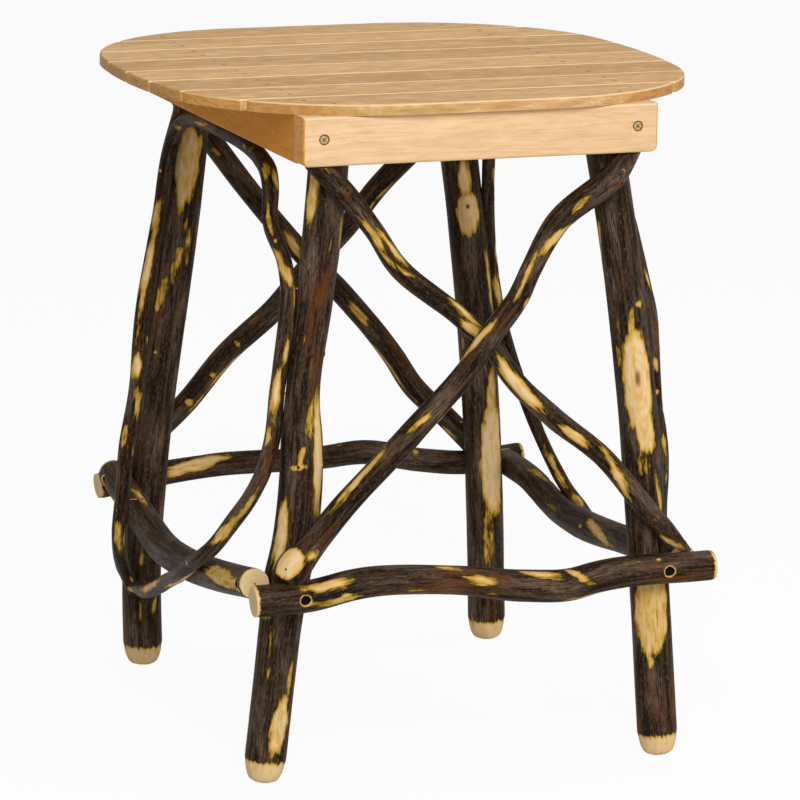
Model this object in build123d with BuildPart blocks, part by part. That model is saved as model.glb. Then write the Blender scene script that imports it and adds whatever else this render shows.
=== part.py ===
from build123d import *
import os
from math import pi, sin

os.makedirs("parts", exist_ok=True)

# Rustic side table of hickory poles under a slatted oak top.
# X runs along the front, Y to the back, Z up. The pieces are drawn about the middle of the frame, and save()
# sets them back, so that the origin lies on the floor under the middle of the whole table.

# ---- slatted top ----
table_height = 616
top_width = 510
slat_count = 8
slat_width = 62
slat_gap = 2
slat_thickness = 10
top_corner_radius = 181
side_bow = 45             # how far the rounded sides stand out, before their corners are rounded
slat_eased_edge = 2
slat_eased_corner = 3     # where two slats meet at the sides
top_shift = 4             # how far the top's middle lies behind the frame's
set_back = 6              # the front stretcher reaches further out than the back one

# ---- apron frame ----
apron_length = 335        # front and back boards, which cover the ends of the side boards
frame_inset = 11.5        # how far the top stands past the frame at front and back, before its shift
apron_height = 44
apron_thickness = 25
apron_corner_radius = 6
apron_eased_edge = 2.5

# ---- poles and twigs ----
stretcher_height = 178    # where the stretchers cross the legs
front_stretcher_radius = 14
back_stretcher_radius = 12
left_stretcher_radius = 14.5
right_stretcher_radius = 13.5
side_stretcher_reach = 15  # how far the side stretchers' front ends stand past the front legs' axes
side_stretcher_tail = 20   # and their back ends past the back legs' axes
front_thin_radius = 9.3   # the two front twigs that cross
front_thick_radius = 10.7
back_twig_radius = 10.8
left_twig_radius = 7.3
right_twig_radius = 6.4
notch = 2                 # how deep a pole or twig is coped over the one it is nailed to
seat_gap = 0.2            # what a cope or a flat stands clear of its neighbour

# ---- feet ----
foot_height = 24          # the whittled tip of each leg
foot_flat = 0.5           # its flat on the floor, as a share of the leg's radius

# ---- screws and nails ----
screw_shank_radius = 2.1
screw_head_radius = 4
screw_head_height = 2.4
screw_clearance = 0.1
counterbore_radius = 4.8
apron_counterbore_depth = 0.6
stretcher_counterbore_depth = 7
apron_screw_inset = 19.5  # from the end of the front and back boards
apron_screw_rise = 24     # above the frame's lower edge
apron_screw_length = 58
leg_screw_rise = 11       # the screws from a leg into the side board
leg_screw_step = 23       # those into the front or back board are this much higher
leg_screw_bite = 15       # how far they go into a board
stretcher_screw_bite = 15  # how far the stretchers' screws go into a leg
nail_radius = 1
nail_head_radius = 2.2
nail_head_height = 1
nail_clearance = 0.1
slat_nail_length = 30
slat_nail_spacing = 26    # the two nails at each end of a slat
corner_nail_inset = 20    # how much nearer the middle the outermost nails are, clear of the rounded corner
brace_nail_bite = 14      # how far a brace's nail goes into what carries the brace

# ---- worked out ----
slat_pitch = slat_width + slat_gap
top_depth = slat_count * slat_pitch - slat_gap
frame_depth = top_depth - 2 * frame_inset
frame_top = table_height - slat_thickness
frame_bottom = frame_top - apron_height
half_frame = frame_depth / 2
half_apron = apron_length / 2
inner_x = half_apron - apron_thickness     # inner faces of the boards
inner_y = half_frame - apron_thickness
leg_length = frame_top - seat_gap

# Each leg: which way its corner lies, its radius at the top and the floor, how deep its flats are planed
# where it stands in the frame's corner, how far its foot stands out past its top, and how it bends. Its shape
# gives, at shares of its height, how far the pole wanders outward and its girth as a share of its radius.
legs = {
    "front_left": dict(
        x=-1, y=-1, top=20.5, foot=21, flat=4, splay_x=65, splay_y=11, bow=-3, sway=1, shape=[
            (0.12, 0, 0.89), (0.24, 0, 0.92), (0.295, -0.5, 0.98), (0.35, -4, 0.97), (0.45, -3.5, 0.94),
            (0.51, 0, 0.9), (0.57, 3.5, 0.76), (0.72, 2, 0.8), (0.89, 0, 0.87), (1, 0, 0.87)]),
    "front_right": dict(
        x=1, y=-1, top=17.5, foot=18.5, flat=0, splay_x=60, splay_y=34, bow=11, sway=-1.5, shape=[
            (0.16, 0, 1), (0.3, 0, 1), (0.45, 0, 1), (0.6, 0, 1), (0.75, 0, 1), (1, 0, 1)]),
    "back_left": dict(
        x=-1, y=1, top=18, foot=19.5, flat=0, splay_x=49, splay_y=15, bow=9, sway=4.5, shape=[
            (0.16, 2, 0.98), (0.28, 1, 0.98), (0.42, 0, 0.96), (0.52, 0, 0.97), (0.64, 0, 1), (0.82, 0, 1),
            (1, 0, 1)]),
    "back_right": dict(
        x=1, y=1, top=18.5, foot=18.5, flat=4, splay_x=55, splay_y=4, bow=12, sway=0, shape=[
            (0.16, 0, 1), (0.3, 0, 1), (0.45, 0, 1), (0.6, 0, 1), (0.75, 0, 1), (1, 0, 1)]),
}
# Each side: the leg where `across` is 0, the leg where it is 1, and the way out.
sides = {
    "front": ("front_left", "front_right", Vector(0, -1, 0)),
    "back": ("back_left", "back_right", Vector(0, 1, 0)),
    "left": ("front_left", "back_left", Vector(-1, 0, 0)),
    "right": ("front_right", "back_right", Vector(1, 0, 0)),
}


def save(part, name):
    placed = Pos(0, set_back, 0) * part
    placed.label = name
    export_step(placed, f"parts/{name}.step")


# ---- legs ----
def leg_radius(leg, height):
    return leg["foot"] + (leg["top"] - leg["foot"]) * height / leg_length


def leg_axis(leg, height):
    # straight from the frame's corner to the foot, plus one long bow and an S-shaped sway outward
    up = height / leg_length
    bend = leg["bow"] * sin(pi * up) + leg["sway"] * sin(2 * pi * up)
    out_x = inner_x + leg["flat"] - leg["top"] + leg["splay_x"] * (1 - up) + bend
    out_y = inner_y + leg["flat"] - leg["top"] + leg["splay_y"] * (1 - up)
    return Vector(leg["x"] * out_x, leg["y"] * out_y, height)


def leg_sections(leg):
    # height, how far the pole wanders outward there, and radius: the whittled tip first, then up to the top
    sections = []
    for rise, share in ((0, foot_flat), (0.3, 0.8), (1, 1)):
        sections.append((foot_height * rise, 0, share * leg_radius(leg, 0)))
    for share, wander, girth in leg["shape"]:
        height = leg_length * share
        sections.append((height, wander, girth * leg_radius(leg, height)))
    return sections


def leg_pole(leg, grow=0):
    with BuildPart() as pole:
        for height, wander, radius in leg_sections(leg):
            with BuildSketch(Plane(origin=leg_axis(leg, height) + Vector(leg["x"] * wander, 0, 0))):
                Circle(radius + grow)
        loft(ruled=True)
    return pole.part


# ---- stretchers and braces ----
def on_side(side, across, height, out):
    # a point at a share of the way from one leg's axis to the next, moved out past the legs' outer skin
    first, last, outward = sides[side]
    start = leg_axis(legs[first], height)
    end = leg_axis(legs[last], height)
    skin = leg_radius(legs[first], height) * (1 - across) + leg_radius(legs[last], height) * across
    return start + (end - start) * across + outward * (skin + out)


def limb_axis(limb):
    # `rise` is 0 at the stretchers' height and 1 at the frame's lower edge; `over` is 0 where the limb
    # lies on the legs and 1 where it lies on top of what it crosses
    span = frame_bottom - stretcher_height
    places = []
    for across, rise, over, *_ in limb["stations"]:
        out = limb["radius"] - notch + over * limb["step"]
        places.append(on_side(limb["side"], across, stretcher_height + rise * span, out))
    return places


def limb_pole(limb, grow=0):
    # round sections square to the run of the limb, joined by straight stretches
    places = limb_axis(limb)
    outward = sides[limb["side"]][2]
    with BuildPart() as pole:
        for index, place in enumerate(places):
            before = places[max(index - 1, 0)]
            after = places[min(index + 1, len(places) - 1)]
            run = (after - before).normalized()
            across_run = outward.cross(run)
            radius = limb["radius"] * limb["stations"][index][3] + grow
            with BuildSketch(Plane(origin=place, x_dir=across_run, z_dir=run)):
                Circle(radius)
        loft(ruled=True)
    return pole.part


# Each limb's stations: across, rise, over, its girth there as a share of its radius and, where a nail holds
# it, the piece that the nail goes into.
front_crossing = front_thin_radius + front_thick_radius - notch
back_crossing = 2 * back_twig_radius - notch
left_crossing = 2 * left_stretcher_radius - notch
right_crossing = 2 * right_stretcher_radius - notch

front_end = -side_stretcher_reach / frame_depth
back_end = 1 + side_stretcher_tail / frame_depth

stretchers = {
    "stretcher_front": dict(side="front", radius=front_stretcher_radius, step=0, first_screw=0.014,
                            last_screw=1.012, stations=[
        (-0.113, -0.01, 0, 1.03), (0.05, -0.003, 0, 1.02), (0.15, 0.015, 0, 1), (0.43, 0.01, 0, 0.95),
        (0.62, -0.014, 0, 1.04), (0.75, -0.018, 0, 1.06), (0.82, -0.005, 0, 1.03), (1.145, 0.006, 0, 1)]),
    "stretcher_back": dict(side="back", radius=back_stretcher_radius, step=0, stations=[
        (-0.12, -0.01, 0, 1.05), (0.21, 0.025, 0, 0.98), (0.55, 0.028, 0, 0.95), (0.66, 0.035, 0, 1),
        (0.84, 0.004, 0, 0.98), (0.97, -0.009, 0, 1), (1.145, 0.003, 0, 1)]),
    "stretcher_left": dict(side="left", radius=left_stretcher_radius, step=0, stations=[
        (front_end, 0.02, 0, 0.97), (0.2, -0.02, 0, 1), (0.44, -0.05, 0, 1.02), (0.61, -0.055, 0, 1.04),
        (0.75, -0.03, 0, 1), (back_end, 0.03, 0, 0.95)]),
    "stretcher_right": dict(side="right", radius=right_stretcher_radius, step=0, stations=[
        (front_end, 0.01, 0, 1.02), (0.3, -0.027, 0, 1), (0.57, -0.051, 0, 1.08), (0.695, -0.05, 0, 1),
        (0.88, -0.013, 0, 0.95), (back_end, -0.005, 0, 0.95)]),
}

braces = {
    "brace_front_thin": dict(side="front", radius=front_thin_radius, step=front_crossing, stations=[
        (-0.095, 1.01, 0, 1), (0.015, 0.94, 0, 1.12, "leg_front_left"), (0.145, 0.835, -0.15, 0.95),
        (0.21, 0.767, -0.2, 1), (0.45, 0.616, -0.4, 0.98), (0.555, 0.533, -0.45, 0.98),
        (0.585, 0.492, -0.42, 1), (0.712, 0.382, -0.3, 1.05), (0.857, 0.279, -0.12, 1),
        (0.993, 0.129, 0, 1.02, "leg_front_right"), (1.03, 0.09, 0, 0.95), (1.085, 0.04, 0, 0.4)]),
    "brace_front_thick": dict(side="front", radius=front_thick_radius, step=front_crossing, stations=[
        (1.065, 1.01, 0, 0.85), (1, 0.957, 0, 1.05, "leg_front_right"), (0.75, 0.838, 0.25, 1),
        (0.65, 0.735, 0.4, 0.9), (0.606, 0.676, 0.47, 0.93), (0.507, 0.585, 0.55, 1),
        (0.443, 0.514, 0.52, 0.97), (0.28, 0.364, 0.33, 1.04), (0.098, 0.192, 0.08, 1.05),
        (0.025, 0.105, 0, 1.15, "leg_front_left"), (-0.012, 0.065, 0, 1.45), (-0.03, 0.035, 0, 1.3)]),
    "brace_back_thin": dict(side="back", radius=back_twig_radius, step=back_crossing, stations=[
        (-0.045, 1.01, 0, 0.95), (0, 0.97, 0, 1, "leg_back_left"), (0.13, 0.856, 0, 1),
        (0.445, 0.575, -0.43, 0.98), (0.575, 0.47, -0.43, 1), (0.755, 0.287, -0.25, 1),
        (0.812, 0.209, -0.18, 1.03), (0.93, 0.105, 0, 1, "leg_back_right"), (1.01, 0.025, 0, 1)]),
    "brace_back_thick": dict(side="back", radius=back_twig_radius, step=back_crossing, stations=[
        (1.11, 1.01, 0, 0.95), (1, 0.91, 0, 1, "leg_back_right"), (0.723, 0.718, 0.3, 0.98),
        (0.618, 0.622, 0.45, 1), (0.52, 0.545, 0.57, 1.02), (0.394, 0.428, 0.48, 1.05),
        (0.229, 0.307, 0.3, 1), (0.12, 0.195, 0, 1), (0, 0.09, 0, 1, "leg_back_left"),
        (-0.035, 0.055, 0, 1)]),
    # bowed from under the frame over the stretcher, its tip turned in to the back leg
    "brace_left_bow": dict(side="left", radius=left_twig_radius, step=left_crossing, stations=[
        (0.89, 1.01, 0, 0.95), (0.972, 0.815, 0, 1.03, "leg_back_left"), (0.962, 0.745, 0.08, 0.97),
        (0.89, 0.468, 0.6, 1), (0.805, 0.287, 0.9, 1.02), (0.81, 0.155, 0.98, 1),
        (0.8, 0.02, 1, 1, "stretcher_left"), (0.81, -0.06, 0.97, 0.98), (0.86, -0.125, 0.66, 0.97),
        (0.905, -0.175, 0.33, 0.95), (0.945, -0.22, -0.08, 0.9, "leg_back_left"),
        (0.957, -0.262, -0.41, 0.85)]),
    # from the bow, forward under the frame, down the front leg and back across to the bow's tip
    "brace_left_hook": dict(side="left", radius=left_twig_radius, step=left_crossing, stations=[
        (0.912, 0.905, 0.2, 0.9), (0.86, 0.95, 0.15, 0.95), (0.79, 0.972, 0.1, 1), (0.585, 0.978, 0, 1),
        (0.38, 0.968, -0.1, 1.1), (0.295, 0.955, -0.1, 1.12), (0.238, 0.933, -0.1, 1.12),
        (0.208, 0.9, -0.07, 1.05), (0.188, 0.843, -0.02, 1), (0.04, 0.739, 0, 0.95),
        (0.014, 0.7, 0, 0.97, "leg_front_left"), (0.006, 0.645, 0, 1),
        (0.016, 0.455, 0, 0.97, "leg_front_left"), (0.01, 0.345, 0.02, 1), (0.03, 0.26, 0.13, 1),
        (0.055, 0.2, 0.32, 1), (0.085, 0.145, 0.6, 1), (0.13, 0.083, 0.84, 1), (0.19, 0.034, 1, 1),
        (0.245, 0.004, 1, 1, "stretcher_left"), (0.3, -0.027, 0.97, 1), (0.486, -0.105, 0.65, 1),
        (0.65, -0.17, 0.34, 1), (0.8, -0.216, -0.02, 0.95), (0.927, -0.24, -0.36, 0.85)]),
    "brace_right_bow": dict(side="right", radius=right_twig_radius, step=right_crossing, stations=[
        (0.14, 1.01, 0, 1), (0.12, 0.909, 0, 1), (0.08, 0.847, 0, 1), (0.02, 0.66, 0, 1),
        (0.006, 0.6, 0, 1.05, "leg_front_right"), (0.011, 0.521, 0, 1), (0.055, 0.378, 0.2, 1),
        (0.073, 0.264, 0.4, 1), (0.19, 0.05, 0.98, 1), (0.2, -0.01, 1, 1, "stretcher_right"),
        (0.205, -0.04, 1, 1)]),
    "brace_right_hook": dict(side="right", radius=right_twig_radius, step=right_crossing, stations=[
        (0.87, 1.01, 0, 1), (0.88, 0.97, 0, 1), (0.95, 0.805, 0, 1), (0.985, 0.7, 0, 1, "leg_back_right"),
        (1.005, 0.606, 0, 1), (1.005, 0.486, 0, 1), (0.995, 0.411, 0.04, 1), (0.925, 0.26, 0.17, 1),
        (0.79, 0.052, 0.64, 1), (0.753, 0.006, 0.82, 1), (0.665, -0.042, 1, 1, "stretcher_right"),
        (0.625, -0.058, 1, 1)]),
}

# What each brace is coped over besides the legs and boards.
coped_over = {
    "brace_front_thin": ["stretcher_front"],
    "brace_front_thick": ["stretcher_front", "brace_front_thin"],
    "brace_back_thin": ["stretcher_back"],
    "brace_back_thick": ["stretcher_back", "brace_back_thin"],
    "brace_left_bow": ["stretcher_left", "stretcher_back"],
    "brace_left_hook": ["stretcher_left", "stretcher_front", "brace_left_bow"],
    "brace_right_bow": ["stretcher_right", "stretcher_front"],
    "brace_right_hook": ["stretcher_right", "stretcher_back"],
}


# ---- screws and nails ----
def pin(head_at, aim, length, shank, head, head_height, grow=0, sunk=0):
    # a shank under a flat head; grow widens it into its bore, and sunk runs the bore out past the surface
    with BuildPart() as made:
        with BuildSketch(Plane(origin=head_at, z_dir=aim)):
            Circle(head + grow)
        extrude(amount=head_height)
        with BuildSketch(Plane(origin=head_at, z_dir=aim)):
            Circle(shank + grow)
        extrude(amount=length + grow)
        if sunk:
            with BuildSketch(Plane(origin=head_at, z_dir=-aim)):
                Circle(head + grow)
            extrude(amount=sunk)
    return made.part


def screw(head_at, aim, length, grow=0, sunk=0):
    head = counterbore_radius if grow else screw_head_radius
    return pin(head_at, aim, length, screw_shank_radius, head, screw_head_height, grow, sunk)


def nail(head_at, aim, length, grow=0, sunk=0):
    return pin(head_at, aim, length, nail_radius, nail_head_radius, nail_head_height, grow, sunk)


# Every fastener is a group, the kind, where its head's top lies, its aim and length, how far its bore runs
# outward, and the pieces that it is bored through.
fasteners = []


def fasten(group, kind, head_at, aim, length, sunk, through):
    fasteners.append(dict(group=group, kind=kind, head_at=head_at, aim=aim, length=length, sunk=sunk,
                          through=through))


def slat_name(index):
    return f"slat_{index + 1}"


def slat_middle(index):
    # slat 1 is the front one
    return top_shift - top_depth / 2 + slat_width / 2 + index * slat_pitch


for x_way, rail in ((-1, "apron_left"), (1, "apron_right")):
    for index in range(slat_count):
        for y_way in (-1, 1):
            # the outermost ones go into the front and back boards, clear of the top's rounded corner
            x = x_way * (half_apron - apron_thickness / 2)
            y = slat_middle(index) + y_way * slat_nail_spacing / 2
            carrier = rail
            if abs(y) > inner_y:
                x -= x_way * corner_nail_inset
                y = y_way * (half_frame - apron_thickness / 2)
                carrier = "apron_front" if y < 0 else "apron_back"
            fasten("slat_nails", nail, Vector(x, y, table_height), Vector(0, 0, -1),
                   slat_nail_length, slat_thickness, [slat_name(index), carrier])

for y_way, board in ((-1, "apron_front"), (1, "apron_back")):
    for x_way, rail in ((-1, "apron_left"), (1, "apron_right")):
        head_at = Vector(x_way * (half_apron - apron_screw_inset),
                         y_way * (half_frame - apron_counterbore_depth), frame_bottom + apron_screw_rise)
        fasten("apron_screws", screw, head_at, Vector(0, -y_way, 0), apron_screw_length,
               2 * apron_counterbore_depth, [board, rail])

for name, leg in legs.items():
    rail = "apron_left" if leg["x"] < 0 else "apron_right"
    board = "apron_front" if leg["y"] < 0 else "apron_back"
    low = leg_axis(leg, frame_bottom + leg_screw_rise)
    high = leg_axis(leg, low.Z + leg_screw_step)
    into_rail = Vector(leg["x"], 0, 0)
    into_board = Vector(0, leg["y"], 0)
    rail_length = inner_x - abs(low.X) + leg["top"] - screw_head_height + leg_screw_bite
    board_length = inner_y - abs(high.Y) + leg["top"] - screw_head_height + leg_screw_bite
    inset = leg["top"] - screw_head_height
    fasten("leg_screws", screw, low - into_rail * inset, into_rail, rail_length, leg["top"],
           ["leg_" + name, rail])
    fasten("leg_screws", screw, high - into_board * inset, into_board, board_length, leg["top"],
           ["leg_" + name, board])

for stretcher, limb in stretchers.items():
    first, last, outward = sides[limb["side"]]
    across = [station[0] for station in limb["stations"]]
    places = limb_axis(limb)
    for corner, wanted in ((first, limb.get("first_screw", 0)), (last, limb.get("last_screw", 1))):
        later = next(i for i, value in enumerate(across) if value > wanted)
        share = (wanted - across[later - 1]) / (across[later] - across[later - 1])
        crossing = places[later - 1] + (places[later] - places[later - 1]) * share
        head_at = crossing + outward * (limb["radius"] - stretcher_counterbore_depth)
        length = 2 * limb["radius"] - notch - stretcher_counterbore_depth + stretcher_screw_bite
        fasten("stretcher_screws", screw, head_at, -outward, length, 2 * stretcher_counterbore_depth,
               [stretcher, "leg_" + corner])

for brace, limb in braces.items():
    outward = sides[limb["side"]][2]
    for place, station in zip(limb_axis(limb), limb["stations"]):
        if len(station) == 5:
            piece = station[4]
            radius = limb["radius"] * station[3]
            aim = -outward
            if piece.startswith("leg"):
                aim = (leg_axis(legs[piece[4:]], place.Z) - place).normalized()
            fasten("brace_nails", nail, place - aim * radius, aim, 2 * radius + brace_nail_bite, radius,
                   [brace, piece])


def bores(piece):
    made = []
    for item in fasteners:
        if piece in item["through"]:
            grow = screw_clearance if item["kind"] is screw else nail_clearance
            made.append(item["kind"](item["head_at"], item["aim"], item["length"], grow, item["sunk"]))
    return made


def cut_from(blank, cutters):
    with BuildPart() as piece:
        add(blank)
        for cutter in cutters:
            add(cutter, mode=Mode.SUBTRACT)
    return piece.part


# ---- the top: one rounded square sawn into slats ----
with BuildSketch() as top_outline:
    with BuildLine():
        half_x = top_width / 2
        half_y = top_depth / 2
        Line((-half_x + side_bow, -half_y), (half_x - side_bow, -half_y))
        ThreePointArc((half_x - side_bow, -half_y), (half_x, 0), (half_x - side_bow, half_y))
        Line((half_x - side_bow, half_y), (-half_x + side_bow, half_y))
        ThreePointArc((-half_x + side_bow, half_y), (-half_x, 0), (-half_x + side_bow, -half_y))
    make_face()
    fillet(top_outline.vertices(), top_corner_radius)

for index in range(slat_count):
    middle = slat_middle(index)
    sawn = [middle - slat_width / 2] if index else []
    sawn += [middle + slat_width / 2] if index < slat_count - 1 else []
    with BuildPart() as slat:
        with BuildSketch(Plane.XY.offset(frame_top)) as shape:
            with Locations((0, top_shift)):
                add(top_outline.sketch)
            with Locations((0, middle)):
                Rectangle(top_width, slat_width, mode=Mode.INTERSECT)
            corners = [corner for corner in shape.vertices() if any(abs(corner.Y - y) < 0.01 for y in sawn)]
            fillet(corners, slat_eased_corner)
        extrude(amount=slat_thickness)
        fillet(slat.faces().sort_by(Axis.Z)[-1].edges(), slat_eased_edge)
        for bore in bores(slat_name(index)):
            add(bore, mode=Mode.SUBTRACT)
    save(slat.part, slat_name(index))


# ---- the frame ----
def apron_board(length):
    # a board along X about the origin of its own frame, with eased edges and rounded lower corners
    with BuildPart() as board:
        Box(length, apron_thickness, apron_height)
        lower = board.faces().sort_by(Axis.Z)[0].edges().filter_by(Axis.Y)
        fillet(lower, apron_corner_radius)
        outer = board.faces().sort_by(Axis.Y)[0].edges()
        fillet(outer, apron_eased_edge)
    return board.part


frame_middle = frame_bottom + apron_height / 2
for y_way, name, turn in ((-1, "apron_front", 0), (1, "apron_back", 180)):
    place = Pos(0, y_way * (half_frame - apron_thickness / 2), frame_middle) * Rot(0, 0, turn)
    save(cut_from(place * apron_board(apron_length), bores(name)), name)

for x_way, name in ((-1, "apron_left"), (1, "apron_right")):
    with BuildPart() as board:
        with Locations((x_way * (half_apron - apron_thickness / 2), 0, frame_middle)):
            Box(apron_thickness, 2 * inner_y, apron_height)
        lower = board.faces().sort_by(Axis.Z)[0].edges().filter_by(Axis.Y)
        fillet(lower, apron_eased_edge)
        for bore in bores(name):
            add(bore, mode=Mode.SUBTRACT)
    save(board.part, name)

# the room that the boards and the slats take, with the clearance of what is cut to them
with BuildPart() as frame_room:
    with BuildSketch(Plane.XY.offset(frame_bottom - seat_gap)):
        Rectangle(apron_length + 2 * seat_gap, frame_depth + 2 * seat_gap)
        Rectangle(2 * (inner_x - seat_gap), 2 * (inner_y - seat_gap), mode=Mode.SUBTRACT)
    extrude(amount=apron_height + seat_gap)
with BuildPart() as braces_stop:
    with BuildSketch(Plane.XY.offset(frame_bottom - seat_gap)):
        Rectangle(2 * frame_depth, 2 * frame_depth)
    extrude(amount=table_height)

# ---- legs ----
for name, leg in legs.items():
    cutters = [frame_room.part] + bores("leg_" + name)
    save(cut_from(leg_pole(leg), cutters), "leg_" + name)

# ---- stretchers: the front and back ones first, the side ones coped to them ----
leg_cutters = {name: leg_pole(leg, seat_gap) for name, leg in legs.items()}
limb_cutters = {name: limb_pole(limb, seat_gap) for name, limb in stretchers.items()}
for name, limb in stretchers.items():
    first, last, outward = sides[limb["side"]]
    cutters = [leg_cutters[first], leg_cutters[last]]
    if limb["side"] in ("left", "right"):
        cutters += [limb_cutters["stretcher_front"], limb_cutters["stretcher_back"]]
    save(cut_from(limb_pole(limb), cutters + bores(name)), name)

# ---- braces: bent twigs coped over the legs, the stretchers and each other ----
for name, limb in braces.items():
    limb_cutters[name] = limb_pole(limb, seat_gap)
for name, limb in braces.items():
    first, last, outward = sides[limb["side"]]
    cutters = [braces_stop.part, leg_cutters[first], leg_cutters[last]]
    cutters += [limb_cutters[other] for other in coped_over[name]]
    save(cut_from(limb_pole(limb), cutters + bores(name)), name)

# ---- fasteners, one node for each kind ----
for group in ("slat_nails", "apron_screws", "leg_screws", "stretcher_screws", "brace_nails"):
    with BuildPart() as pins:
        for item in fasteners:
            if item["group"] == group:
                add(item["kind"](item["head_at"], item["aim"], item["length"]))
    save(pins.part, group)
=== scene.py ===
import bpy
import numpy as np
from math import cos, pi, radians, sin
from mathutils import Matrix, Vector


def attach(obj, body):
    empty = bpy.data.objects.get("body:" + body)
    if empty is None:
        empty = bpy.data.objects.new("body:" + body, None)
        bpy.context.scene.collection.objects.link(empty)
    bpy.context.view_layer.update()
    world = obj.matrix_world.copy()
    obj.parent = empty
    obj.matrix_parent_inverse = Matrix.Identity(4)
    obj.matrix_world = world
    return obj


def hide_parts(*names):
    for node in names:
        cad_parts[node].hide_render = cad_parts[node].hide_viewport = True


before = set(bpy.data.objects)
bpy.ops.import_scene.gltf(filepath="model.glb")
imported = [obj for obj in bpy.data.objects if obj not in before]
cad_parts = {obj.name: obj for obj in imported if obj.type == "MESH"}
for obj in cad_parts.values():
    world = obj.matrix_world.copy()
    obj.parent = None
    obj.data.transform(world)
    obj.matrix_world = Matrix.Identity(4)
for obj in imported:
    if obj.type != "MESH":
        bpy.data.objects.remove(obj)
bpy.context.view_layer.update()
print("frame loaded with", len(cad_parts), "nodes")

# The table's own lengths are millimetres until a mesh is filled; the camera, the lamps and the finishes are
# in metres. The pieces are laid out about the middle of the frame and set back with the whole table.
table = dict(height=616, slatThickness=10, apronLength=335, frameDepth=487, apronHeight=44, apronThickness=25,
             stretcherHeight=178, setBack=6, notch=2, seatGap=0.2)
frameTop = table["height"] - table["slatThickness"]
frameBottom = frameTop - table["apronHeight"]
legLength = frameTop - table["seatGap"]
innerX = table["apronLength"] / 2 - table["apronThickness"]
innerY = table["frameDepth"] / 2 - table["apronThickness"]

# place in metres, angles in degrees, focal length in pixels of a square picture, film width in mm
view = dict(place=(-1.5634, -4.3571, 1.2733), turn=19.864, drop=11.91, roll=0.66, focal=5041.17, picture=800,
            film=36, far=100)


def makeCamera():
    # it looks along +y, turned right, dropped below the level and rolled with its right side up
    turn, drop, roll = [radians(view[angle]) for angle in ("turn", "drop", "roll")]
    level = Vector((sin(turn), cos(turn), 0))
    ahead = level * cos(drop) - Vector((0, 0, 1)) * sin(drop)
    up = level * sin(drop) + Vector((0, 0, 1)) * cos(drop)
    right = Vector((cos(turn), -sin(turn), 0))
    rolledRight = right * cos(roll) + up * sin(roll)
    rolledUp = up * cos(roll) - right * sin(roll)
    lens = bpy.data.cameras.new("camera")
    lens.sensor_width = view["film"]
    lens.lens = view["film"] * view["focal"] / view["picture"]
    lens.clip_end = view["far"]
    camera = bpy.data.objects.new("camera", lens)
    bpy.context.scene.collection.objects.link(camera)
    camera.matrix_world = Matrix.Translation(view["place"]) @ Matrix(
        (rolledRight, rolledUp, -ahead)).transposed().to_4x4()
    bpy.context.scene.camera = camera


makeCamera()


class Wire:
    # one output of a node; sums, differences and products of wires and numbers add Math nodes
    def __init__(self, finish, socket):
        self.finish = finish
        self.socket = socket

    def __add__(self, other):
        return self.finish.math("ADD", self, other)

    def __radd__(self, other):
        return self.finish.math("ADD", other, self)

    def __sub__(self, other):
        return self.finish.math("SUBTRACT", self, other)

    def __rsub__(self, other):
        return self.finish.math("SUBTRACT", other, self)

    def __mul__(self, other):
        return self.finish.math("MULTIPLY", self, other)

    def __rmul__(self, other):
        return self.finish.math("MULTIPLY", other, self)


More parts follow.
